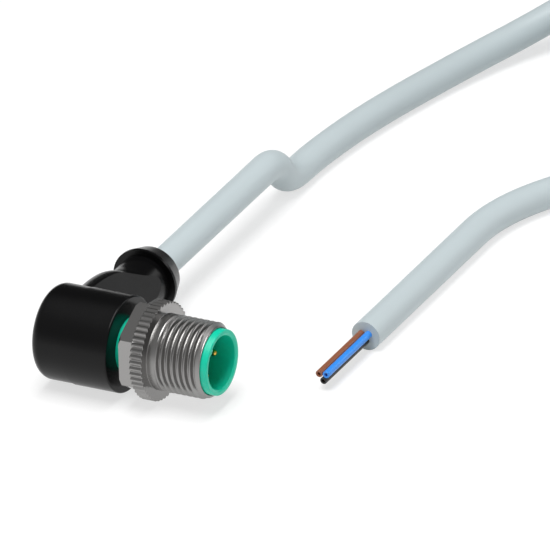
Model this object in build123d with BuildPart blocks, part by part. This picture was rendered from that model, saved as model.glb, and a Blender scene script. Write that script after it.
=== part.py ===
from build123d import *
import os
from math import cos, pi, radians, sin, tan

os.makedirs("parts", exist_ok=True)

# Right-angle circular connector with a moulded grip, a screwed coupling nut and a three-wire cable.
# Millimetres. The mating axis is X, the mouth faces +X, and the cable leaves the grip along +Y.
# The origin is the centre of the front face of the nut's knurled ring.

# Coupling nut
ring_r = 7.75  # the knurled ring, which also touches the floor
ring_len = 2.0
groove_count = 50
groove_depth = 0.3
groove_width = 0.5
hex_flats = 13.0
hex_len = 2.45
hex_turn = -5.0  # from +Y towards +Z, as the photo shows the nut at rest
hex_corner_chamfer = 0.4
thread_r = 6.0
thread_len = 8.4
thread_lead_in = 0.5
nut_step_x = -0.65  # the face that pushes on the carrier's shoulder
running_gap = 0.07  # radial clearance of the nut on the carrier
shoulder_gap = 0.05

# Contact carrier
carrier_neck_r = 4.35
carrier_front_r = 5.15
carrier_proud = 1.1  # how far its mouth stands out of the nut
cavity_r = 4.25
cavity_floor_x = 0.8
key_height = 0.5
key_width = 1.0
carrier_turn = -5.0  # the key and pins stand turned this far off the cable's plane
key_angle = 135.0 + carrier_turn  # from +Y towards +Z
key_set_back = 0.6
anchor_r = 5.7
anchor_len = 1.2
carrier_bury = 2.4  # how deep the carrier's back end sits in the grip

# Pins
pin_r = 0.5
pin_circle_r = 2.75
pin_tip_set_back = 2.5  # from the carrier's mouth
pin_angles = {"pin_1": 90.0 + carrier_turn, "pin_3": 270.0 + carrier_turn, "pin_4": carrier_turn}
collar_r = 0.75
collar_len = 0.8
collar_x = -3.2
cup_r = 0.8
cup_len = 1.8
cup_bore_depth = 1.5

# Grip
nut_play = 1.75  # room behind the nut
head_r = 7.6
head_back_r = 7.5  # behind the mould's parting step
head_len = 13.45
head_back_round = 1.7
head_front_round = 0.25
neck_x = -13.7  # the cable's axis crosses the mating axis here
neck_outline = [(4.0, 5.85), (7.0, 6.05), (9.5, 5.95), (11.2, 5.6), (12.6, 5.0), (14.0, 4.55)]  # Y, radius
stub_r = 4.4
stub_start_y = 15.4
flange_r = 5.4
flange_y = 18.7
flange_rim = 0.5  # the flange's straight rim
collar_back_r = 4.4  # behind the rim the grip tapers to this
collar_back_y = 22.3
collar_back_chamfer = 0.3
facet_tilt = 26.4  # how far the neck's two front flats lean off the cable's axis plane
facet_yaw = 12.3
facet_depth = 11.28  # from the origin, along the flat's normal

# Wires and cable
jacket_r = 2.4
jacket_start_y = 9.0  # where the jacket ends inside the grip
wire_r = 0.57
copper_r = 0.3
wire_bend_r = 1.9
wire_bow = 1.8  # how far past halfway the wires turn towards their pins
wire_colours = {"pin_1": "brown", "pin_3": "blue", "pin_4": "black"}
wire_lay_r = 0.86  # the three wires' centres in the cable
wire_lay = {"pin_1": 90.0, "pin_3": 210.0, "pin_4": 330.0}
lead_len = 13.7
lead_bury = 6.0
lead_offsets = {"brown": (-0.69, 0.34), "blue": (0.53, 0.41), "black": (0.01, -0.73)}

# Floor and the put-away coil, which lies on its tie, four layers high, clockwise seen from above
floor_z = -ring_r
cable_z = floor_z + jacket_r
coil_centre = (42.8, 119.0)
first_turn_r = 14.9  # the cable's centre line in the innermost turn
last_turn_r = 30.0
coil_inner_r = first_turn_r - jacket_r
coil_outer_r = last_turn_r + jacket_r
coil_layers = 4
tie_angle = 40.0
tie_width = 6.0
tie_thick = 0.5
coil_low_z = cable_z + tie_thick  # the cable leaves from the lowest layer
coil_top_z = coil_low_z + (coil_layers - 1) * 2 * jacket_r  # and comes in on the top one
climb_start_z = -3.4
climb_mid_z = 3.2

# The cable's route: straight out of the grip, a tight double bend down to the floor, then off to the coil
grip_side_route = [
    (neck_x, jacket_start_y, 0.0),
    (neck_x, 60.8, 0.0),
    (neck_x, 63.9, cable_z),
    (neck_x, 73.5, cable_z),
    (-11.6, 88.4, cable_z),
    (-6.4, 107.7, cable_z),
    (1.0, 122.5, climb_start_z),
    (12.0, 133.9, climb_mid_z),
    (24.0, 143.0, coil_top_z),
]
open_end_y = 23.9
open_side_route = [
    (48.25, 88.1, coil_low_z),
    (36.8, 86.0, coil_low_z),
    (27.2, 77.8, cable_z),
    (21.5, 66.0, cable_z),
    (21.5, open_end_y, cable_z),
]

nut_back_x = -ring_len - hex_len
head_front_x = nut_back_x - nut_play
head_back_x = head_front_x - head_len
carrier_back_x = head_front_x - carrier_bury
nut_front_x = thread_len + thread_lead_in
carrier_mouth_x = nut_front_x + carrier_proud
shoulder_x = nut_step_x + shoulder_gap
cup_back_x = carrier_back_x - cup_len


def finish(node, label):
    node.part.label = label
    export_step(node.part, f"parts/{label}.step")


def pin_place(pin):
    angle = radians(pin_angles[pin])
    return pin_circle_r * cos(angle), pin_circle_r * sin(angle)


def bend_radii(route):
    """Each bend takes 0.45 of its shorter run."""
    points = [Vector(*p) for p in route]
    radii = []
    for before, corner, after in zip(points, points[1:], points[2:]):
        turn = radians((corner - before).get_angle(after - corner))
        shorter = min((corner - before).length, (after - corner).length)
        radii.append(0.45 * shorter / tan(turn / 2))
    return radii


def tube_volume_check(name, solid, route):
    with BuildLine() as line:
        FilletPolyline(*route, radius=bend_radii(route))
    length = sum(edge.length for edge in line.line.edges())
    print(name, "bend radii", [round(r, 1) for r in bend_radii(route)], "length", round(length, 1))
    print(name, "volume", round(solid.volume, 1), "section x length", round(pi * jacket_r**2 * length, 1))


# Coupling nut: hexagon, knurled ring and threaded shank in one turned piece, its thread left plain
with BuildPart() as coupling_nut:
    with BuildSketch(Plane.YZ.offset(nut_back_x)):
        RegularPolygon(hex_flats / 2, 6, major_radius=False, rotation=30 + hex_turn)
    extrude(amount=hex_len)
    with BuildSketch(Plane.XY):
        with BuildLine():
            corner_r = hex_flats / 2 / cos(pi / 6)
            Polyline(
                (nut_back_x, 0),
                (nut_back_x, corner_r - hex_corner_chamfer),
                (nut_back_x + hex_corner_chamfer, corner_r),
                (-ring_len, corner_r),
                (-ring_len, 0),
                close=True,
            )
        make_face()
    revolve(axis=Axis.X, mode=Mode.INTERSECT)
    with BuildSketch(Plane.YZ.offset(-ring_len)):
        Circle(ring_r)
        with PolarLocations(ring_r, groove_count):
            Rectangle(groove_depth * 2, groove_width, rotation=0, mode=Mode.SUBTRACT)
    extrude(amount=ring_len)
    with BuildSketch(Plane.XY):
        with BuildLine():
            Polyline(
                (-ring_len, 0),
                (-ring_len, thread_r),
                (thread_len, thread_r),
                (nut_front_x, thread_r - thread_lead_in),
                (nut_front_x, 0),
                close=True,
            )
        make_face()
    revolve(axis=Axis.X)
    with BuildSketch(Plane.YZ.offset(nut_back_x)):
        Circle(carrier_neck_r + running_gap)
    extrude(amount=nut_step_x - nut_back_x, mode=Mode.SUBTRACT)
    with BuildSketch(Plane.YZ.offset(nut_step_x)):
        Circle(carrier_front_r + running_gap)
    extrude(amount=nut_front_x - nut_step_x, mode=Mode.SUBTRACT)
finish(coupling_nut, "coupling_nut")

# Pins: round-nosed contacts with a locking collar and a solder cup at the back
pins = {}
for pin_name in pin_angles:
    pin_y, pin_z = pin_place(pin_name)
    pin_axis = Axis((0, pin_y, pin_z), (1, 0, 0))
    tip_x = carrier_mouth_x - pin_tip_set_back
    with BuildPart() as pin:
        with BuildSketch(Plane(origin=(0, pin_y, pin_z), x_dir=(1, 0, 0), z_dir=(0, 0, 1))):
            with BuildLine():
                Polyline(
                    (tip_x, 0),
                    (cup_back_x + cup_bore_depth, 0),
                    (cup_back_x + cup_bore_depth, copper_r),
                    (cup_back_x, copper_r),
                    (cup_back_x, cup_r),
                    (carrier_back_x + cup_len, cup_r),
                    (carrier_back_x + cup_len, pin_r),
                    (collar_x, pin_r),
                    (collar_x, collar_r),
                    (collar_x + collar_len, collar_r),
                    (collar_x + collar_len, pin_r),
                    (tip_x - pin_r, pin_r),
                )
                RadiusArc((tip_x - pin_r, pin_r), (tip_x, 0), pin_r)
            make_face()
        revolve(axis=pin_axis)
    finish(pin, pin_name)
    pins[pin_name] = pin.part

# Contact carrier: solid web with an anchor flange at the back and a keyed socket at the front
with BuildPart() as contact_carrier:
    with BuildSketch(Plane.XY):
        with BuildLine():
            Polyline(
                (carrier_back_x, 0),
                (carrier_back_x, anchor_r),
                (carrier_back_x + anchor_len, anchor_r),
                (carrier_back_x + anchor_len, carrier_neck_r),
                (shoulder_x, carrier_neck_r),
                (shoulder_x, carrier_front_r),
                (carrier_mouth_x, carrier_front_r),
                (carrier_mouth_x, cavity_r),
                (cavity_floor_x, cavity_r),
                (cavity_floor_x, 0),
                close=True,
            )
        make_face()
    revolve(axis=Axis.X)
    key_plane = Plane(
        origin=(0, 0, 0),
        x_dir=(0, cos(radians(key_angle)), sin(radians(key_angle))),
        z_dir=(1, 0, 0),
    )
    with BuildSketch(key_plane.offset(cavity_floor_x)):
        with Locations((cavity_r, 0)):
            Rectangle(key_height * 2, key_width)
        Circle((cavity_r + carrier_front_r) / 2, mode=Mode.INTERSECT)
    extrude(amount=carrier_mouth_x - key_set_back - cavity_floor_x)
    for pin_solid in pins.values():
        add(pin_solid, mode=Mode.SUBTRACT)
finish(contact_carrier, "contact_carrier")

# Inner wires: from the jacket's end across to the solder cups, each a copper core in its insulation
wires = []
for pin_name, colour in wire_colours.items():
    pin_y, pin_z = pin_place(pin_name)
    lay = radians(wire_lay[pin_name])
    start_x, start_z = neck_x + wire_lay_r * cos(lay), wire_lay_r * sin(lay)
    wire_route = [
        (start_x, jacket_start_y, start_z),
        (start_x, (jacket_start_y + pin_y) / 2 + wire_bow, start_z),
        (start_x, pin_y, pin_z),
        (cup_back_x, pin_y, pin_z),
    ]
    with BuildPart() as copper:
        with BuildLine() as copper_line:
            FilletPolyline(*wire_route, radius=wire_bend_r)
        with BuildSketch(Plane(origin=copper_line.line @ 0, z_dir=copper_line.line % 0)):
            Circle(copper_r)
        sweep()
        with BuildSketch(Plane.YZ.offset(cup_back_x)):
            with Locations((pin_y, pin_z)):
                Circle(copper_r)
        extrude(amount=cup_bore_depth)
    with BuildPart() as wire:
        with BuildLine() as wire_line:
            FilletPolyline(*wire_route, radius=wire_bend_r)
        with BuildSketch(Plane(origin=wire_line.line @ 0, z_dir=wire_line.line % 0)):
            Circle(wire_r)
        sweep()
        add(copper.part, mode=Mode.SUBTRACT)
    finish(copper, f"{colour}_wire_copper")
    finish(wire, f"{colour}_wire")
    wires += [copper.part, wire.part]

# Coil of the spare cable, its tie, and the two free runs of cable
coil_mid_r = (coil_inner_r + coil_outer_r) / 2
coil_wide = coil_outer_r - coil_inner_r
coil_high = coil_layers * 2 * jacket_r
coil_mid_z = floor_z + tie_thick + coil_high / 2
coil_plane = Plane(origin=(*coil_centre, 0), x_dir=(1, 0, 0), z_dir=(0, -1, 0))
with BuildPart() as cable_coil:
    with BuildSketch(coil_plane):
        with Locations((coil_mid_r, coil_mid_z)):
            RectangleRounded(coil_wide, coil_high, jacket_r)
    revolve(axis=Axis((*coil_centre, 0), (0, 0, 1)))
finish(cable_coil, "cable_coil")

tie_dir = (cos(radians(tie_angle)), sin(radians(tie_angle)), 0)
tie_plane = Plane(origin=(*coil_centre, 0), x_dir=tie_dir, z_dir=(tie_dir[1], -tie_dir[0], 0))
with BuildPart() as coil_tie:
    with BuildSketch(tie_plane):
        with Locations((coil_mid_r, coil_mid_z)):
            RectangleRounded(coil_wide + 2 * tie_thick, coil_high + 2 * tie_thick, jacket_r + tie_thick)
    extrude(amount=tie_width / 2, both=True)
    add(cable_coil.part, mode=Mode.SUBTRACT)
finish(coil_tie, "coil_tie")

with BuildPart() as grip_side_cable:
    with BuildLine() as grip_side_line:
        FilletPolyline(*grip_side_route, radius=bend_radii(grip_side_route))
    with BuildSketch(Plane(origin=grip_side_line.line @ 0, z_dir=grip_side_line.line % 0)):
        Circle(jacket_r)
    sweep()
    tube_volume_check("grip_side_cable", grip_side_cable.part, grip_side_route)
    add(cable_coil.part, mode=Mode.SUBTRACT)
finish(grip_side_cable, "grip_side_cable")

# Open end: three flying leads, their copper flush with the cut
leads = []
for colour, (offset_x, offset_z) in lead_offsets.items():
    lead_plane = Plane.XZ.offset(-open_end_y - lead_bury)
    lead_x, lead_z = open_side_route[-1][0] + offset_x, cable_z + offset_z
    with BuildPart() as lead_copper:
        with BuildSketch(lead_plane):
            with Locations((lead_x, lead_z)):
                Circle(copper_r)
        extrude(amount=lead_len + lead_bury)
    with BuildPart() as lead:
        with BuildSketch(lead_plane):
            with Locations((lead_x, lead_z)):
                Circle(wire_r)
                Circle(copper_r, mode=Mode.SUBTRACT)
        extrude(amount=lead_len + lead_bury)
    finish(lead_copper, f"{colour}_lead_copper")
    finish(lead, f"{colour}_lead")
    leads += [lead_copper.part, lead.part]

with BuildPart() as open_side_cable:
    with BuildLine() as open_side_line:
        FilletPolyline(*open_side_route, radius=bend_radii(open_side_route))
    with BuildSketch(Plane(origin=open_side_line.line @ 0, z_dir=open_side_line.line % 0)):
        Circle(jacket_r)
    sweep()
    tube_volume_check("open_side_cable", open_side_cable.part, open_side_route)
    add(cable_coil.part, mode=Mode.SUBTRACT)
    for lead_solid in leads:
        add(lead_solid, mode=Mode.SUBTRACT)
finish(open_side_cable, "open_side_cable")

# Grip: head, tapered neck with two front flats, stub and flange, moulded round everything inside it
with BuildPart() as grip_neck:
    with BuildSketch(Plane(origin=(neck_x, 0, 0), z_dir=(0, 0, 1))):
        with BuildLine():
            neck_points = [(radius, y) for y, radius in neck_outline]
            neck_start = neck_points[0]
            stub_start = (stub_r, stub_start_y)
            Polyline(stub_start, (stub_r, flange_y), (0, flange_y), (0, neck_start[1]), neck_start)
            Spline(*neck_points, stub_start)
        make_face()
    revolve(axis=Axis((neck_x, 0, 0), (0, 1, 0)))
    for side in (1, -1):
        normal = Vector(
            cos(radians(facet_tilt)) * cos(radians(facet_yaw)),
            -sin(radians(facet_yaw)),
            side * sin(radians(facet_tilt)) * cos(radians(facet_yaw)),
        )
        split(bisect_by=Plane(origin=normal * -facet_depth, z_dir=normal), keep=Keep.BOTTOM)

with BuildPart() as grip_body:
    with BuildSketch(Plane.YZ.offset(neck_x)):
        Circle(head_r)
    extrude(amount=head_front_x - neck_x)
    with BuildSketch(Plane.YZ.offset(neck_x)):
        Circle(head_back_r)
    extrude(amount=head_back_x - neck_x)
    fillet(grip_body.edges().filter_by(GeomType.CIRCLE).sort_by(Axis.X)[0], head_back_round)
    fillet(grip_body.edges().filter_by(GeomType.CIRCLE).sort_by(Axis.X)[-1], head_front_round)
    add(grip_neck.part)
    with BuildSketch(Plane(origin=(neck_x, 0, 0), z_dir=(0, 0, 1))):
        with BuildLine():
            Polyline(
                (0, flange_y),
                (flange_r, flange_y),
                (flange_r, flange_y + flange_rim),
                (collar_back_r, collar_back_y - collar_back_chamfer),
                (collar_back_r - collar_back_chamfer, collar_back_y),
                (0, collar_back_y),
                close=True,
            )
        make_face()
    revolve(axis=Axis((neck_x, 0, 0), (0, 1, 0)))
    for inner in [contact_carrier.part, grip_side_cable.part, *pins.values(), *wires]:
        add(inner, mode=Mode.SUBTRACT)
finish(grip_body, "grip_body")
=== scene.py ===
import math

import bmesh
import bpy
from mathutils import Matrix, Quaternion, Vector


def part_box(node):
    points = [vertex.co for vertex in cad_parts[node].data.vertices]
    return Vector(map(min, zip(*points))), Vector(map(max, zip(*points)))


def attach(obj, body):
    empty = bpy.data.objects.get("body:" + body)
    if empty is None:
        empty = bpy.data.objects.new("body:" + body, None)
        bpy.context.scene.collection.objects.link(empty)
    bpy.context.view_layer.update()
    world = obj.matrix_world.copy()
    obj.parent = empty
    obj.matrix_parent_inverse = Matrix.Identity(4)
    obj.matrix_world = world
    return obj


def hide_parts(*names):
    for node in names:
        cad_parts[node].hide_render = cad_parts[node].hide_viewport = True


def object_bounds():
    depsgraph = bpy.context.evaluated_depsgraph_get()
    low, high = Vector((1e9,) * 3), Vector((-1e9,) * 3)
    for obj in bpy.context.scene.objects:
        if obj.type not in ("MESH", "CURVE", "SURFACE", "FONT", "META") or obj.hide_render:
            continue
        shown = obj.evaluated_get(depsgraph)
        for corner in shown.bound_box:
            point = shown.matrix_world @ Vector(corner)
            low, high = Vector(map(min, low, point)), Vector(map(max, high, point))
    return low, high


# Right-angle circular connector: moulded grip, coupling nut, keyed carrier with pins, and its cable.
# The mating axis is X and the cable leaves along +Y. Sizes in the dictionaries are millimetres.

mm = 0.001
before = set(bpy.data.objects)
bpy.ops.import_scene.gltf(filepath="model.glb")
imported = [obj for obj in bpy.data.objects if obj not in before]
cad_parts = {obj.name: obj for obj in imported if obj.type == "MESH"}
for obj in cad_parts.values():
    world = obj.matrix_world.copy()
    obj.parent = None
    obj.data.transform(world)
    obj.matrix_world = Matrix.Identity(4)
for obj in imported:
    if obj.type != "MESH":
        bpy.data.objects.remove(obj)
cadLow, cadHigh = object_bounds()
scene = bpy.context.scene
scene.view_settings.view_transform = "Standard"
print("frame:", len(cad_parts), "nodes")


# Camera: long lens, so that the view is nearly parallel

camera = {
    "aim": (12.76, 13.06, 9.11),
    "azimuth": 30.25,
    "elevation": 28.1,
    "roll": -4.36,
    "viewWidth": 83.7,
    "lens": 1500.0,
    "sensor": 36.0,
}


def makeCamera():
    data = bpy.data.cameras.new("camera")
    data.lens = camera["lens"]
    data.sensor_width = camera["sensor"]
    distance = camera["viewWidth"] * camera["lens"] / camera["sensor"] * mm
    around, up = math.radians(camera["azimuth"]), math.radians(camera["elevation"])
    back = Vector((math.sin(around) * math.cos(up), -math.cos(around) * math.cos(up), math.sin(up)))
    eye = bpy.data.objects.new("camera", data)
    scene.collection.objects.link(eye)
    eye.rotation_mode = "QUATERNION"
    level = (-back).to_track_quat("-Z", "Y")
    eye.rotation_quaternion = level @ Quaternion((0, 0, 1), math.radians(camera["roll"]))
    eye.location = Vector(camera["aim"]) * mm + back * distance
    data.clip_start = distance * 0.1
    data.clip_end = distance * 10
    scene.camera = eye


makeCamera()
print("camera placed")


# Small mesh tools

def linked(name, mesh):
    piece = bpy.data.objects.new(name, mesh)
    scene.collection.objects.link(piece)
    return piece


def closedMesh(name, points, faces, sharp=40.0):
    # doubles are merged, so a face that shrank to a line goes away
    mesh = bpy.data.meshes.new(name)
    mesh.from_pydata([Vector(p) * mm for p in points], [], faces)
    work = bmesh.new()
    work.from_mesh(mesh)
    bmesh.ops.remove_doubles(work, verts=work.verts, dist=0.0005 * mm)
    bmesh.ops.recalc_face_normals(work, faces=work.faces)
    work.to_mesh(mesh)
    work.free()
    mesh.shade_smooth()
    mesh.set_sharp_from_angle(angle=math.radians(sharp))
    return linked(name, mesh)


def softened(outline, steps=4):
    # outline: (along, radius, rounding) corners of a closed loop, each drawn as a small arc
    points = []
    for i, (along, radius, rounding) in enumerate(outline):
        corner = Vector((along, radius))
        if rounding == 0:
            points.append(corner)
            continue
        before = (Vector(outline[i - 1][:2]) - corner).normalized()
        after = (Vector(outline[(i + 1) % len(outline)][:2]) - corner).normalized()
        half = before.angle(after) / 2
        centre = corner + (before + after).normalized() * rounding / math.sin(half)
        start = corner + before * rounding / math.tan(half) - centre
        end = corner + after * rounding / math.tan(half) - centre
        for k in range(steps + 1):
            points.append(centre + start.slerp(end, k / steps).normalized() * rounding)
    return points


def lathePoints(outline, place, segments):
    # turns a closed loop of (along, radius) about the axis of the place matrix, along its local X
    points, faces = [], []
    count = len(outline)
    for i in range(segments):
        angle = 2 * math.pi * i / segments
        for along, radius in outline:
            points.append(place @ Vector((along, radius * math.cos(angle), radius * math.sin(angle))))
    for i in range(segments):
        here, there = i * count, (i + 1) % segments * count
        for k in range(count):
            nxt = (k + 1) % count
            faces.append((here + k, here + nxt, there + nxt, there + k))
    return points, faces


def lathe(name, outline, place, segments):
    points, faces = lathePoints(outline, place, segments)
    return closedMesh(name, points, faces)


def alongX(y=0.0, z=0.0):
    return Matrix.Translation((0, y, z))


def alongY(x, z):
    return Matrix.Translation((x, 0, z)) @ Matrix.Rotation(math.pi / 2, 4, "Z")


# Cable: one spline from inside the grip, down to the floor, round the put-away coil and back to the open end

cable = {
    "diameter": 4.8,
    "length": 2000.0,
    "exit": (-13.7, 22.3, 0.0),
    "gripSide": [
        (-13.7, 9.0, 0.0),
        (-13.7, 54.6, 0.0),
        (-13.7, 60.8, 0.0),
        (-13.7, 63.9, -5.35),
        (-13.7, 73.5, -5.35),
        (-11.6, 88.4, -5.35),
        (-6.4, 107.7, -5.35),
        (1.0, 122.5, -3.4),
        (12.0, 133.9, 3.2),
    ],
    "openSide": [
        (36.8, 86.0, -4.85),
        (27.2, 77.8, -5.35),
        (21.5, 66.0, -5.35),
        (21.5, 53.5, -5.35),
        (21.5, 23.9, -5.35),
    ],
}
coil = {
    "centre": (42.8, 119.0),
    "outerTurn": 30.0,
    "innerTurn": 14.9,
    "turns": 12.575,
    "startAngle": 127.0,
    "pointsPerTurn": 16,
    "layerZ": (9.55, 4.75, -0.05, -4.85),
    "stepDown": (-0.15, 0.25),  # turns before and after each layer's end
}


def coilPoints():
    # in towards the middle on top, out again in the layer below, and so on down
    perLayer = coil["turns"] / len(coil["layerZ"])
    pointScale = 1 / 0.981  # the spline runs a little inside its control points
    step = (coil["outerTurn"] - coil["innerTurn"]) / perLayer
    stepStart, stepEnd = coil["stepDown"]
    x, y = coil["centre"]
    points = []
    count = round(coil["turns"] * coil["pointsPerTurn"])
    for i in range(count + 1):
        turn = coil["turns"] * i / count
        angle = math.radians(coil["startAngle"] - 360 * turn)
        layer = min(int(turn / perLayer), len(coil["layerZ"]) - 1)
        wound = turn - layer * perLayer
        if layer % 2 == 1:
            wound = perLayer - wound
        radius = (coil["outerTurn"] - wound * step) * pointScale
        z = coil["layerZ"][0]
        for k in range(1, len(coil["layerZ"])):
            share = (turn - k * perLayer - stepStart) / (stepEnd - stepStart)
            z += (coil["layerZ"][k] - coil["layerZ"][k - 1]) * min(1.0, max(0.0, share))
        points.append((x + radius * math.cos(angle), y + radius * math.sin(angle), z))
    return points


def makeCable():
    curve = bpy.data.curves.new("cable", "CURVE")
    curve.dimensions = "3D"
    curve.bevel_depth = cable["diameter"] / 2 * mm
    curve.bevel_resolution = 14
    curve.use_fill_caps = True
    route = cable["gripSide"] + coilPoints() + cable["openSide"]
    spline = curve.splines.new("NURBS")
    spline.points.add(len(route) - 1)
    for point, (x, y, z) in zip(spline.points, route):
        point.co = (x * mm, y * mm, z * mm, 1)
    spline.order_u = 3
    spline.use_endpoint_u = True
    spline.resolution_u = 10
    return linked("cable", curve)


cableJacket = makeCable()
print("cable laid")


# Coupling nut: hexagon, knurled ring and threaded shank, turned as one closed skin

nut = {
    "acrossFlats": 13.0,
    "hexCorner": 7.48,
    "hexChamferRadius": 7.106,
    "hexTurn": -5.0,
    "backX": -4.45,
    "ringBackX": -2.0,
    "ringRadius": 7.75,
    "ringEdge": 0.07,
    "grooves": 50,
    "grooveDepth": 0.3,
    "groove": [(0.0, 1.0), (0.07, 1.0), (0.13, 0.88), (0.34, 0.1), (0.39, 0.0)],  # mm from its middle, share
    "fillet": 0.05,
    "shankRadius": 5.95,
    "threadStartX": 1.25,
    "threadFullX": 1.95,
    "frontX": 8.9,
    "pitch": 1.0,
    "crestRadius": 6.0,
    "rootRadius": 5.38,
    "firstCrestX": 1.95,  # where a crest crosses the +Y side
    "leadInSlope": 1.0,
    "boreFront": 5.22,
    "boreBack": 4.42,
    "stepX": -0.65,
    "boreEdge": 0.08,
    "leastStep": 0.01,  # the ring's back edge stays this far outside the hexagon
    "columnGap": 0.0009,  # radians: closer columns become one
    "sharpAngle": 30.0,
}
# one pitch, from crest to crest: share of the pitch, share of the depth
threadProfile = [
    (0.0, 0.0), (0.04, 0.0), (0.07, 0.04), (0.2, 0.44), (0.33, 0.86), (0.39, 0.97), (0.45, 1.0),
    (0.55, 1.0), (0.61, 0.97), (0.67, 0.86), (0.8, 0.44), (0.93, 0.04), (0.96, 0.0), (1.0, 0.0),
]


def between(profile, value):
    for (a, low), (b, high) in zip(profile, profile[1:]):
        if value <= b:
            return low + (high - low) * (value - a) / (b - a)
    return profile[-1][1]


def smoothStep(value):
    value = min(1.0, max(0.0, value))
    return value * value * (3 - 2 * value)


def nutColumns():
    # angles from +Y towards +Z: every bend of a groove, two on each land, and the hexagon's corners
    spacing = 2 * math.pi / nut["grooves"]
    bends = [offset / nut["ringRadius"] for offset, depth in nut["groove"]]
    angles = []
    for i in range(nut["grooves"]):
        angles += [i * spacing + bend for bend in bends]
        angles += [i * spacing - bend for bend in bends[1:]]
        angles += [(i + 0.5) * spacing - bends[1] / 2, (i + 0.5) * spacing + bends[1] / 2]
    cornerHalf = math.pi / 6 - math.acos(nut["acrossFlats"] / 2 / nut["hexCorner"])
    for corner in range(6):
        middle = math.radians(30 + 60 * corner + nut["hexTurn"])
        angles += [middle - cornerHalf, middle + cornerHalf]
    ordered = []
    for angle in sorted(a % (2 * math.pi) for a in angles):
        if not ordered or angle - ordered[-1] > nut["columnGap"]:
            ordered.append(angle)
    return ordered


def hexRadius(angle):
    offset = (angle - math.radians(nut["hexTurn"]) + math.pi / 6) % (math.pi / 3) - math.pi / 6
    return min(nut["acrossFlats"] / 2 / math.cos(offset), nut["hexCorner"])


def knurlRadius(angle):
    spacing = 2 * math.pi / nut["grooves"]
    offset = abs((angle + spacing / 2) % spacing - spacing / 2) * nut["ringRadius"]
    return nut["ringRadius"] - nut["grooveDepth"] * between(nut["groove"], offset)


def threadRadius(x, angle):
    phase = ((x - nut["firstCrestX"]) / nut["pitch"] - angle / (2 * math.pi)) % 1.0
    depth = between(threadProfile, phase)
    full = nut["crestRadius"] - (nut["crestRadius"] - nut["rootRadius"]) * depth
    share = smoothStep((x - nut["threadStartX"]) / (nut["threadFullX"] - nut["threadStartX"]))
    leadIn = nut["rootRadius"] + (nut["frontX"] - x) * nut["leadInSlope"]
    return min(nut["shankRadius"] + (full - nut["shankRadius"]) * share, leadIn)


def nutColumn(angle):
    # (x, radius) stations from the back face, over the outside, and back through the bore
    outside = hexRadius(angle)
    chamfer = max(0.0, outside - nut["hexChamferRadius"])
    knurl = knurlRadius(angle)
    edge, fillet, bore = nut["ringEdge"], nut["fillet"], nut["boreEdge"]
    stations = [
        (nut["backX"], nut["boreBack"] + bore),
        (nut["backX"], min(outside, nut["hexChamferRadius"])),
        (nut["backX"] + chamfer, outside),
        (nut["ringBackX"], outside),
        (nut["ringBackX"], max(knurl - edge, outside + nut["leastStep"])),
        (nut["ringBackX"] + edge, knurl),
        (-edge, knurl),
        (0.0, knurl - edge),
    ]
    for k in range(5):
        bend = math.pi / 2 * k / 4
        x = fillet * (1 - math.cos(bend))
        stations.append((x, nut["shankRadius"] + fillet * (1 - math.sin(bend))))
    stations.append(("thread", None))
    stations += [
        (nut["frontX"], nut["boreFront"] + bore),
        (nut["frontX"] - bore, nut["boreFront"]),
        (nut["stepX"], nut["boreFront"]),
        (nut["stepX"], nut["boreBack"]),
        (nut["backX"] + bore, nut["boreBack"]),
    ]
    return stations


def makeNut():
    columns = nutColumns()
    perTurn = len(threadProfile) - 1
    length = nut["frontX"] - nut["threadStartX"]
    threadCount = perTurn * math.ceil(length / nut["pitch"] + 1) + 1
    lag = (nut["threadStartX"] - nut["firstCrestX"]) / nut["pitch"]
    firstTurn = math.floor(lag) - 1
    points, faces = [], []
    for angle in columns:
        row = []
        for x, radius in nutColumn(angle):
            if x != "thread":
                row.append((x, radius))
                continue
            threadAt = len(row)
            for s in range(threadCount + perTurn):
                turn, k = divmod(s, perTurn)
                along = firstTurn + turn + threadProfile[k][0] + angle / (2 * math.pi)
                here = nut["firstCrestX"] + nut["pitch"] * along
                here = min(max(here, nut["threadStartX"]), nut["frontX"])
                row.append((here, threadRadius(here, angle)))
        points += [(x, r * math.cos(angle), r * math.sin(angle)) for x, r in row]
    count = len(row)  # the same in every column
    threadEnd = threadAt + threadCount + perTurn
    for c in range(len(columns)):
        wraps = c == len(columns) - 1
        here, there = c * count, 0 if wraps else (c + 1) * count
        for k in range(count):
            nxt = (k + 1) % count
            k2, nxt2 = k, nxt
            if wraps and threadAt <= k < threadEnd:  # past a full turn the helix is one pitch further on
                k2 = min(k + perTurn, threadEnd - 1)
            if wraps and threadAt <= nxt < threadEnd:
                nxt2 = min(nxt + perTurn, threadEnd - 1)
            faces.append((here + k, here + nxt, there + nxt2, there + k2))
    piece = closedMesh("nut", points, faces, nut["sharpAngle"])
    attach(piece, "nut")
    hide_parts("coupling_nut")
    return piece


couplingNut = makeNut()
print("nut turned:", len(couplingNut.data.polygons), "faces")


# Contact carrier: a stepped plug with a keyed socket at its mouth

carrier = {
    "backX": -8.6,
    "anchorRadius": 5.7,
    "anchorLength": 1.2,
    "neckRadius": 4.35,
    "shoulderX": -0.6,
    "frontRadius": 5.15,
    "mouthX": 10.0,
    "mouthEdge": 0.16,
    "mouthRadius": 4.6,
    "mouthBevel": 0.2,
    "mouthInnerEdge": 0.05,
    "cavityRadius": 4.25,
    "floorX": 0.8,
    "floorFillet": 0.25,
    "keyAngle": 130.0,
    "keyTopX": 9.75,
    "keyWidth": 1.0,
    "keyHeight": 0.5,
    "keyEdge": 0.08,
    "keySunk": 0.2,  # how far its foot goes into the floor
    "keySharpAngle": 30.0,
    "anchorEdge": 0.1,
    "shoulderEdge": 0.08,
    "segments": 160,
}


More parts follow.
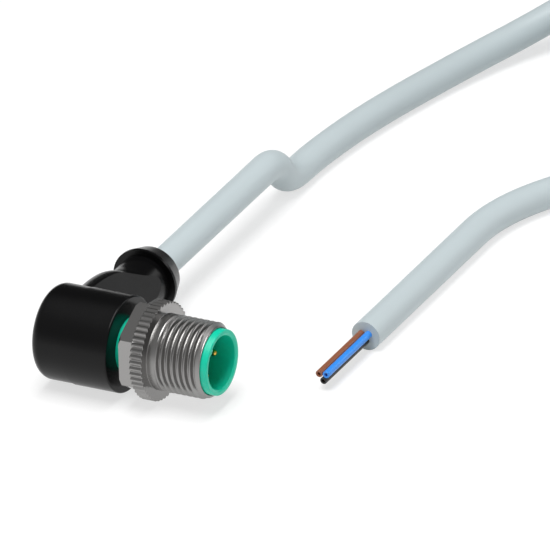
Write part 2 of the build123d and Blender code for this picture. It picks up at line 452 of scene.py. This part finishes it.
def makeCarrier():
    anchorX = carrier["backX"] + carrier["anchorLength"]
    outline = softened([
        (carrier["backX"], 0.0, 0),
        (carrier["backX"], carrier["anchorRadius"], carrier["anchorEdge"]),
        (anchorX, carrier["anchorRadius"], carrier["anchorEdge"]),
        (anchorX, carrier["neckRadius"], 0),
        (carrier["shoulderX"], carrier["neckRadius"], 0),
        (carrier["shoulderX"], carrier["frontRadius"], carrier["shoulderEdge"]),
        (carrier["mouthX"], carrier["frontRadius"], carrier["mouthEdge"]),
        (carrier["mouthX"], carrier["mouthRadius"], carrier["mouthInnerEdge"]),
        (carrier["mouthX"] - carrier["mouthBevel"], carrier["cavityRadius"], carrier["mouthInnerEdge"]),
        (carrier["floorX"], carrier["cavityRadius"], carrier["floorFillet"]),
        (carrier["floorX"], 0.0, 0),
    ])
    piece = lathe("carrier", outline, alongX(), carrier["segments"])
    joinInto(piece, [makeKey()])
    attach(piece, "plug")
    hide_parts("contact_carrier")
    return piece


def makeKey():
    # a rib along the socket's wall, with eased edges, its root sunk in the wall
    half, edge = carrier["keyWidth"] / 2, carrier["keyEdge"]
    top = carrier["cavityRadius"] - carrier["keyHeight"]
    wall = (carrier["cavityRadius"] + carrier["frontRadius"]) / 2
    section = [(wall, -half), (wall, half), (top + edge, half), (top, half - edge), (top, edge - half)]
    section.append((top + edge, -half))
    footX, topX = carrier["floorX"] - carrier["keySunk"], carrier["keyTopX"]
    ends = [(footX, 0.0), (topX - edge, 0.0), (topX, edge)]
    turn = math.radians(carrier["keyAngle"])
    sine, cosine = math.sin(turn), math.cos(turn)
    points = []
    for x, inset in ends:
        for radius, across in section:
            r = max(radius, top + inset) if radius < wall else radius
            a = math.copysign(max(abs(across) - inset, 0.0), across)
            points.append((x, r * cosine - a * sine, r * sine + a * cosine))
    count = len(section)
    faces = [tuple(range(count)), tuple(reversed(range(2 * count, 3 * count)))]
    for k in range(2):
        for i in range(count):
            j = (i + 1) % count
            faces.append((k * count + i, k * count + j, (k + 1) * count + j, (k + 1) * count + i))
    return closedMesh("key", points, faces, carrier["keySharpAngle"])


def joinInto(target, others):
    # merges other meshes into the target's mesh and removes their objects
    work = bmesh.new()
    work.from_mesh(target.data)
    for other in others:
        work.from_mesh(other.data)
        bpy.data.objects.remove(other)
    work.to_mesh(target.data)
    work.free()


contactCarrier = makeCarrier()
print("carrier moulded")


# Pins: turned and gold plated, round nosed, with a locking collar and a solder cup

pin = {
    "radius": 0.5,
    "cupRadius": 0.8,
    "cupFromX": -10.4,
    "cupToX": -6.8,
    "cupBoreRadius": 0.3,
    "cupBoreDepth": 1.5,
    "collarRadius": 0.75,
    "collarFromX": -3.2,
    "collarToX": -2.4,
    "nose": 0.42,
    "edge": 0.05,
    "segments": 48,
}


def makePin(node):
    low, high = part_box(node)
    y, z = (low.y + high.y) / 2 / mm, (low.z + high.z) / 2 / mm
    tipX = high.x / mm
    boreX = pin["cupFromX"] + pin["cupBoreDepth"]
    outline = softened([
        (boreX, 0.0, 0),
        (boreX, pin["cupBoreRadius"], 0),
        (pin["cupFromX"], pin["cupBoreRadius"], 0),
        (pin["cupFromX"], pin["cupRadius"], pin["edge"]),
        (pin["cupToX"], pin["cupRadius"], pin["edge"]),
        (pin["cupToX"], pin["radius"], 0),
        (pin["collarFromX"], pin["radius"], 0),
        (pin["collarFromX"], pin["collarRadius"], pin["edge"]),
        (pin["collarToX"], pin["collarRadius"], pin["edge"]),
        (pin["collarToX"], pin["radius"], 0),
        (tipX, pin["radius"], pin["nose"]),
        (tipX, 0.0, 0),
    ], steps=8)
    piece = lathe(node + "_plated", outline, alongX(y, z), pin["segments"])
    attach(piece, "plug")
    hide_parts(node)
    return piece


pins = [makePin(name) for name in ("pin_1", "pin_3", "pin_4")]
print("pins turned:", len(pins))


# Open end: three insulated leads, cut square, with stranded copper inside

lead = {
    "cutEdge": 0.05,
    "coreRadius": 0.3,
    "strands": 6,  # around a middle one
    "strandRadius": 0.1,
    "coreSetBack": 0.5,
    "coreEdge": 0.02,
    "segments": 48,
    "strandSegments": 14,
    "colours": ("brown", "blue", "black"),
}


def makeLead(colour):
    node = colour + "_lead"
    low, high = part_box(node)
    x, z = (low.x + high.x) / 2 / mm, (low.z + high.z) / 2 / mm
    radius = (high.x - low.x) / 2 / mm
    cutY, rootY = low.y / mm, high.y / mm
    outline = softened([
        (cutY, lead["coreRadius"], lead["coreEdge"]),
        (cutY, radius, lead["cutEdge"]),
        (rootY, radius, 0),
        (rootY, lead["coreRadius"], 0),
    ])
    insulation = lathe(node + "_insulation", outline, alongY(x, z), lead["segments"])
    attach(insulation, "plug")
    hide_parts(node)
    strands = []
    ring = lead["coreRadius"] - lead["strandRadius"]
    for i in range(lead["strands"] + 1):
        angle = 2 * math.pi * i / lead["strands"]
        off = 0.0 if i == lead["strands"] else ring
        wire = softened([
            (cutY + lead["coreSetBack"], 0.0, 0),
            (cutY + lead["coreSetBack"], lead["strandRadius"], lead["coreEdge"]),
            (rootY, lead["strandRadius"], 0),
            (rootY, 0.0, 0),
        ], steps=2)
        place = alongY(x + off * math.cos(angle), z + off * math.sin(angle))
        strands.append(lathe("strand", wire, place, lead["strandSegments"]))
    core = strands[0]
    joinInto(core, strands[1:])
    core.name = node + "_strands"
    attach(core, "plug")
    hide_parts(node + "_copper")
    return insulation, core


leadPieces = [makeLead(colour) for colour in lead["colours"]]
print("leads cut:", len(leadPieces))


# Tie: a hook strap wrapped round the coil

tie = {
    "angle": 40.0,
    "width": 6.0,
    "thick": 0.5,
    "cornerRadius": 2.9,
    "edge": 0.12,
}


def makeTie():
    low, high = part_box("cable_coil")
    centre = Vector((*coil["centre"], 0.0))
    outer = (high.x - low.x) / 2 / mm
    inner = outer - (coil["outerTurn"] - coil["innerTurn"]) - cable["diameter"]
    bottom, top = low.z / mm - tie["thick"], high.z / mm + tie["thick"]
    near, far = inner - tie["thick"], outer + tie["thick"]
    middle = (near + far) / 2
    radius = tie["cornerRadius"]
    # the strap's outer line, from the top middle round and back
    loop = softened([
        (far, top, radius), (far, bottom, radius), (near, bottom, radius), (near, top, radius),
    ], steps=10)
    loop = [Vector((middle, top))] + loop + [Vector((middle, top))]
    half, edge = tie["width"] / 2, tie["edge"]
    section = [(0.0, -half + edge), (0.0, half - edge), (edge, half), (tie["thick"] - edge, half)]
    section += [(tie["thick"], half - edge), (tie["thick"], edge - half), (tie["thick"] - edge, -half)]
    section += [(edge, -half)]
    out = Vector((math.cos(math.radians(tie["angle"])), math.sin(math.radians(tie["angle"])), 0))
    side = Vector((-out.y, out.x, 0))
    points, faces = [], []
    count, rings = len(section), len(loop)
    for i, point in enumerate(loop):
        before, after = loop[max(i - 1, 0)], loop[min(i + 1, rings - 1)]
        run = (after - before).normalized()
        inward = Vector((run.y, -run.x))
        for depth, across in section:
            at = point + inward * depth
            points.append(centre + out * at.x + side * across + Vector((0, 0, at.y)))
    for i in range(rings - 1):
        for k in range(count):
            j = (k + 1) % count
            faces.append((i * count + k, i * count + j, (i + 1) * count + j, (i + 1) * count + k))
    piece = closedMesh("strap", points, faces)
    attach(piece, "plug")
    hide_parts("coil_tie")
    return piece


strap = makeTie()
print("strap wrapped")


# Materials

def addNode(tree, kind, inputs=None, **settings):
    # inputs holds plain values or the sockets to link
    node = tree.nodes.new(kind)
    for key, value in settings.items():
        setattr(node, key, value)
    for key, value in (inputs or {}).items():
        if isinstance(value, bpy.types.NodeSocket):
            tree.links.new(value, node.inputs[key])
        else:
            node.inputs[key].default_value = value
    return node


def newGroup(name, inputs, outputs):
    group = bpy.data.node_groups.new(name, "ShaderNodeTree")
    for label, default in inputs.items():
        socket = group.interface.new_socket(label, in_out="INPUT", socket_type="NodeSocketFloat")
        socket.default_value = default
    for label in outputs:
        group.interface.new_socket(label, in_out="OUTPUT", socket_type="NodeSocketFloat")
    return group, group.nodes.new("NodeGroupInput"), group.nodes.new("NodeGroupOutput")


def worked(tree, operation, first, second):
    return addNode(tree, "ShaderNodeMath", {0: first, 1: second}, operation=operation).outputs[0]


def placeInMm(tree):
    place = addNode(tree, "ShaderNodeTexCoord").outputs["Object"]
    return addNode(tree, "ShaderNodeVectorMath", {0: place, "Scale": 1 / mm}, operation="SCALE").outputs[0]


def aboutX(tree, inMm):
    # how far along X a point lies, and how far off the axis
    parts = addNode(tree, "ShaderNodeSeparateXYZ", {0: inMm})
    flat = addNode(tree, "ShaderNodeCombineXYZ", {"X": parts.outputs["Y"], "Y": parts.outputs["Z"]})
    radius = addNode(tree, "ShaderNodeVectorMath", {0: flat.outputs[0]}, operation="LENGTH")
    return parts.outputs["X"], radius.outputs["Value"]


def makeGrainGroup():
    # fine moulded grain, with a slow cloudiness: Grain is a height and Cloud a share from 0 to 1
    sizes = {"Grain Size": 0.12, "Cloud Size": 6.0}
    group, given, result = newGroup("mouldedGrain", sizes, ["Grain", "Cloud"])
    inMm = placeInMm(group)
    grain = addNode(group, "ShaderNodeTexNoise", {
        "Vector": inMm, "Scale": worked(group, "DIVIDE", 1.0, given.outputs["Grain Size"]),
        "Detail": 2.0, "Roughness": 0.6,
    })
    cloud = addNode(group, "ShaderNodeTexNoise", {
        "Vector": inMm, "Scale": worked(group, "DIVIDE", 1.0, given.outputs["Cloud Size"]),
        "Detail": 3.0, "Roughness": 0.5,
    })
    group.links.new(grain.outputs["Fac"], result.inputs["Grain"])
    group.links.new(cloud.outputs["Fac"], result.inputs["Cloud"])
    return group


def makeTurningGroup():
    # fine circular tool marks about the X axis
    group, given, result = newGroup("turningMarks", {"Spacing": 0.05}, ["Marks", "Cloud"])
    inMm = placeInMm(group)
    along, radius = aboutX(group, inMm)
    turned = addNode(group, "ShaderNodeCombineXYZ", {"X": along, "Y": radius})
    marks = addNode(group, "ShaderNodeTexNoise", {
        "Vector": turned.outputs[0], "Scale": worked(group, "DIVIDE", 1.0, given.outputs["Spacing"]),
        "Detail": 2.0, "Roughness": 0.7,
    })
    cloud = addNode(group, "ShaderNodeTexNoise", {"Vector": inMm, "Scale": 0.35, "Detail": 3.0})
    group.links.new(marks.outputs["Fac"], result.inputs["Marks"])
    group.links.new(cloud.outputs["Fac"], result.inputs["Cloud"])
    return group


# painted shade: where the carrier's colour starts and finishes darkening inside its socket, in mm from the
# mouth
paintedSocketShade = {
    "fromDepth": 0.5,  # behind the mouth
    "fullDepth": 5.0,
    "wallMargin": 0.05,  # these keep the wall and the floor themselves within the socket
    "floorMargin": 0.1,
}


def makeSocketGroup():
    # how deep a point lies in the carrier's socket, from 0 at the mouth to 1, and 0 outside it; this drives
    # the painted shade in the cavity
    group, given, result = newGroup("socketDepth", {}, ["Depth"])
    along, radius = aboutX(group, placeInMm(group))
    depth = addNode(group, "ShaderNodeMapRange", {
        "Value": along,
        "From Min": carrier["mouthX"] - paintedSocketShade["fromDepth"],
        "From Max": carrier["mouthX"] - paintedSocketShade["fullDepth"],
    })
    within = worked(group, "LESS_THAN", radius, carrier["cavityRadius"] + paintedSocketShade["wallMargin"])
    ahead = worked(group, "GREATER_THAN", along, carrier["floorX"] - paintedSocketShade["floorMargin"])
    inside = worked(group, "MULTIPLY", within, ahead)
    share = worked(group, "MULTIPLY", depth.outputs["Result"], inside)
    group.links.new(share, result.inputs["Depth"])
    return group


grainGroup = makeGrainGroup()
turningGroup = makeTurningGroup()
socketGroup = makeSocketGroup()


def newMaterial(name):
    material = bpy.data.materials.new(name)
    material.use_nodes = True
    tree = material.node_tree
    tree.nodes.clear()
    output = tree.nodes.new("ShaderNodeOutputMaterial")
    shader = tree.nodes.new("ShaderNodeBsdfPrincipled")
    tree.links.new(shader.outputs["BSDF"], output.inputs["Surface"])
    return material, tree, shader


def tinted(tree, colour, drift, factor):
    # a colour that drifts between two close tints
    darker, lighter = ([c * share for c in colour] + [1] for share in (1 - drift, 1 + drift))
    return blended(tree, darker, lighter, factor)


def blended(tree, first, second, factor):
    # the mix node's colour sockets are its seventh and eighth
    mix = addNode(tree, "ShaderNodeMix", {"Factor": factor, 6: first, 7: second}, data_type="RGBA")
    return mix.outputs[2]


def ranged(tree, factor, low, high):
    node = addNode(tree, "ShaderNodeMapRange", {"Value": factor, "To Min": low, "To Max": high})
    return node.outputs["Result"]


surface = {
    "plasticSwing": 0.04,  # how far the cloudiness swings the roughness
    "metalSwing": 0.02,
    "plasticBump": 0.02,  # mm
    "metalBump": 0.01,
    "faceOn": 0.95,  # a face that looks along X more than this counts as flat
}


def mouldedPlastic(name, look):
    material, tree, shader = newMaterial(name)
    grain = addNode(tree, "ShaderNodeGroup", node_tree=grainGroup)
    grain.inputs["Grain Size"].default_value = look["grainSize"]
    grain.inputs["Cloud Size"].default_value = look["cloudSize"]
    colour = tinted(tree, look["colour"], look["drift"], grain.outputs["Cloud"])
    # painted shade: the colour is darkened deeper in the socket, where less light gets in
    if "paintedDeepShade" in look:
        socket = addNode(tree, "ShaderNodeGroup", node_tree=socketGroup)
        shade = ranged(tree, socket.outputs["Depth"], 1.0, look["paintedDeepShade"])
        shaded = addNode(tree, "ShaderNodeVectorMath", {0: colour, "Scale": shade}, operation="SCALE")
        colour = shaded.outputs[0]
    tree.links.new(colour, shader.inputs["Base Color"])
    swing = surface["plasticSwing"]
    rough = ranged(tree, grain.outputs["Cloud"], look["roughness"] - swing, look["roughness"] + swing)
    tree.links.new(rough, shader.inputs["Roughness"])
    bump = addNode(tree, "ShaderNodeBump", {
        "Height": grain.outputs["Grain"], "Strength": look["bump"], "Distance": surface["plasticBump"] * mm,
    })
    tree.links.new(bump.outputs["Normal"], shader.inputs["Normal"])
    shader.inputs["Specular IOR Level"].default_value = look["specular"]
    return material


def turnedMetal(name, look):
    material, tree, shader = newMaterial(name)
    marks = addNode(tree, "ShaderNodeGroup", node_tree=turningGroup)
    marks.inputs["Spacing"].default_value = look["spacing"]
    colour = tinted(tree, look["colour"], look["drift"], marks.outputs["Cloud"])
    tree.links.new(colour, shader.inputs["Base Color"])
    swing = surface["metalSwing"]
    rough = ranged(tree, marks.outputs["Cloud"], look["roughness"] - swing, look["roughness"] + swing)
    if "turnedFromX" in look:
        # the hexagon behind this X and the ring's faces are plain, and the lathe's marks on the rest
        # spread each reflection along X
        place = addNode(tree, "ShaderNodeTexCoord")
        along = addNode(tree, "ShaderNodeSeparateXYZ", {0: place.outputs["Object"]})
        facing = addNode(tree, "ShaderNodeSeparateXYZ", {0: place.outputs["Normal"]})
        ahead = worked(tree, "GREATER_THAN", along.outputs["X"], look["turnedFromX"] * mm)
        sideways = worked(tree, "LESS_THAN", facing.outputs["X"], surface["faceOn"])
        turned = worked(tree, "MULTIPLY", ahead, sideways)
        tree.links.new(ranged(tree, turned, 0.0, look["spread"]), shader.inputs["Anisotropic"])
        rough = ranged(tree, turned, look["flatRoughness"], rough)
        around = addNode(tree, "ShaderNodeTangent", direction_type="RADIAL", axis="X")
        tree.links.new(around.outputs[0], shader.inputs["Tangent"])
    tree.links.new(rough, shader.inputs["Roughness"])
    bump = addNode(tree, "ShaderNodeBump", {
        "Height": marks.outputs["Marks"], "Strength": look["bump"], "Distance": surface["metalBump"] * mm,
    })
    tree.links.new(bump.outputs["Normal"], shader.inputs["Normal"])
    shader.inputs["Metallic"].default_value = 1.0
    return material


plasticLooks = {
    "gripBlack": {
        "colour": (0.003, 0.003, 0.0032), "drift": 0.1, "roughness": 0.24, "specular": 0.2,
        "grainSize": 0.1, "cloudSize": 5.0, "bump": 0.15,
    },
    # the carrier's colour takes a painted shade down to the given share deep in its socket
    "carrierTurquoise": {
        "colour": (0.004, 0.6, 0.39), "drift": 0.03, "roughness": 0.32, "specular": 0.4,
        "grainSize": 0.15, "cloudSize": 4.0, "bump": 0.12, "paintedDeepShade": 0.85,
    },
    "jacketGrey": {
        "colour": (0.52, 0.59, 0.61), "drift": 0.02, "roughness": 0.42, "specular": 0.4,
        "grainSize": 0.2, "cloudSize": 9.0, "bump": 0.2,
    },
    "brownInsulation": {
        "colour": (0.28, 0.1, 0.05), "drift": 0.05, "roughness": 0.35, "specular": 0.45,
        "grainSize": 0.15, "cloudSize": 3.0, "bump": 0.12,
    },
    "blueInsulation": {
        "colour": (0.04, 0.28, 0.85), "drift": 0.04, "roughness": 0.3, "specular": 0.5,
        "grainSize": 0.15, "cloudSize": 3.0, "bump": 0.1,
    },
    "blackInsulation": {
        "colour": (0.01, 0.01, 0.01), "drift": 0.1, "roughness": 0.35, "specular": 0.45,
        "grainSize": 0.15, "cloudSize": 3.0, "bump": 0.12,
    },
    "strapBlack": {
        "colour": (0.015, 0.015, 0.016), "drift": 0.2, "roughness": 0.8, "specular": 0.3,
        "grainSize": 0.3, "cloudSize": 3.0, "bump": 1.0,
    },
}
metalLooks = {
    "nickel": {
        "colour": (0.31, 0.305, 0.3), "drift": 0.02, "roughness": 0.28, "spacing": 0.06, "bump": 0.03,
        "turnedFromX": -2.0, "spread": 0.9, "flatRoughness": 0.15,
    },
    "gold": {"colour": (0.8, 0.46, 0.09), "drift": 0.03, "roughness": 0.16, "spacing": 0.04, "bump": 0.1},
    "copper": {"colour": (0.8, 0.42, 0.25), "drift": 0.06, "roughness": 0.3, "spacing": 0.05, "bump": 0.1},
}
materials = {name: mouldedPlastic(name, look) for name, look in plasticLooks.items()}
materials.update({name: turnedMetal(name, look) for name, look in metalLooks.items()})


def dress(piece, name):
    piece.data.materials.clear()
    piece.data.materials.append(materials[name])


def dressNode(node, name):
    # a CAD node keeps its mesh and takes a finish in its material slots
    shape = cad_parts[node]
    for slot in shape.material_slots:
        slot.link = "OBJECT"
        slot.material = materials[name]


dress(cableJacket, "jacketGrey")
dress(couplingNut, "nickel")
dress(contactCarrier, "carrierTurquoise")
for piece in pins:
    dress(piece, "gold")
for colour, (insulation, core) in zip(lead["colours"], leadPieces):
    dress(insulation, colour + "Insulation")
    dress(core, "copper")
    dressNode(colour + "_wire", colour + "Insulation")
    dressNode(colour + "_wire_copper", "copper")
dress(strap, "strapBlack")
dressNode("grip_body", "gripBlack")
print("materials:", len(materials))


# Floor, lights and world

studio = {
    "floorColour": (0.8, 0.8, 0.8),
    "floorSeen": 0.38,  # what camera and mirror rays see of the lit floor
    "floorGlow": 0.65,
    "floorHalf": 4000.0,
    "floorGap": 0.02,
    "worldLow": 0.85,  # near the horizon in front, and up to the fade's end it goes to worldHigh
    "worldHigh": 0.4,
    "worldBack": 0.06,
    "fadeUp": (0.0, 0.35),
    "fadeBack": (0.1, 0.6),
    "panels": {
        "keyPanel": {
            "direction": (0.0, -0.1, 0.99), "along": (1, 0, 0),
            "distance": 400.0, "size": (200, 340), "power": 1.7,
        },
        "sidePanel": {
            "direction": (0.66, 0.6, 0.33), "along": (-0.44, 0.32, 0.28),
            "distance": 500.0, "size": (420, 150), "power": 0.4,
        },
    },
}


def makeFloor():
    half = studio["floorHalf"] * mm
    floorZ = cadLow.z - studio["floorGap"] * mm
    mesh = bpy.data.meshes.new("floor")
    corners = [(x * half, y * half, floorZ) for x, y in ((-1, -1), (1, -1), (1, 1), (-1, 1))]
    mesh.from_pydata(corners, [], [(0, 1, 2, 3)])
    plane = linked("floor", mesh)
    material = bpy.data.materials.new("floorPale")
    material.use_nodes = True
    tree = material.node_tree
    tree.nodes.clear()
    output = tree.nodes.new("ShaderNodeOutputMaterial")
    lit = addNode(tree, "ShaderNodeBsdfDiffuse", {"Color": (*studio["floorColour"], 1)})
    seen = studio["floorSeen"]
    shaded = addNode(tree, "ShaderNodeBsdfDiffuse", {"Color": (seen, seen, seen, 1)})
    glow = addNode(tree, "ShaderNodeEmission", {"Strength": studio["floorGlow"]})
    bright = addNode(tree, "ShaderNodeAddShader", {0: shaded.outputs[0], 1: glow.outputs[0]})
    path = addNode(tree, "ShaderNodeLightPath")
    direct = worked(tree, "ADD", path.outputs["Is Camera Ray"], path.outputs["Is Glossy Ray"])
    anyOfThem = addNode(tree, "ShaderNodeMath", {
        0: direct, 1: path.outputs["Is Transmission Ray"],
    }, operation="ADD", use_clamp=True)
    mix = addNode(tree, "ShaderNodeMixShader", {
        0: anyOfThem.outputs[0], 1: lit.outputs[0], 2: bright.outputs[0],
    })
    tree.links.new(mix.outputs[0], output.inputs["Surface"])
    mesh.materials.append(material)


def makeWorld():
    world = bpy.data.worlds.new("studio")
    world.use_nodes = True
    scene.world = world
    tree = world.node_tree
    tree.nodes.clear()
    output = tree.nodes.new("ShaderNodeOutputWorld")
    place = addNode(tree, "ShaderNodeTexCoord")
    parts = addNode(tree, "ShaderNodeSeparateXYZ", {0: place.outputs["Generated"]})
    (upStart, upEnd), (backStart, backEnd) = studio["fadeUp"], studio["fadeBack"]
    front = addNode(tree, "ShaderNodeMapRange", {
        "Value": parts.outputs["Z"], "From Min": upStart, "From Max": upEnd,
        "To Min": studio["worldLow"], "To Max": studio["worldHigh"],
    }, interpolation_type="SMOOTHSTEP")
    level = addNode(tree, "ShaderNodeMapRange", {
        "Value": parts.outputs["Y"], "From Min": backStart, "From Max": backEnd,
        "To Min": front.outputs["Result"], "To Max": studio["worldBack"],
    }, interpolation_type="SMOOTHSTEP")
    sky = addNode(tree, "ShaderNodeBackground", {"Strength": level.outputs["Result"]})
    tree.links.new(sky.outputs[0], output.inputs["Surface"])


def makePanel(name, look):
    # its first side lies along the given direction as nearly as it can while it faces the object
    data = bpy.data.lights.new(name, "AREA")
    data.shape = "RECTANGLE"
    data.size, data.size_y = (side * mm for side in look["size"])
    data.energy = look["power"]
    panel = bpy.data.objects.new(name, data)
    scene.collection.objects.link(panel)
    toward = Vector(look["direction"]).normalized()
    across = toward.cross(Vector(look["along"])).normalized()
    turn = Matrix((across.cross(toward), across, toward)).transposed()
    panel.matrix_world = Matrix.Translation(toward * look["distance"] * mm) @ turn.to_4x4()


makeFloor()
makeWorld()
for name, look in studio["panels"].items():
    makePanel(name, look)
print("studio lit")


# The cord with its leads and strap

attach(cableJacket, "plug")
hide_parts("grip_side_cable", "cable_coil", "open_side_cable")
onCable = [strap]
for insulation, core in leadPieces:
    onCable += [insulation, core]
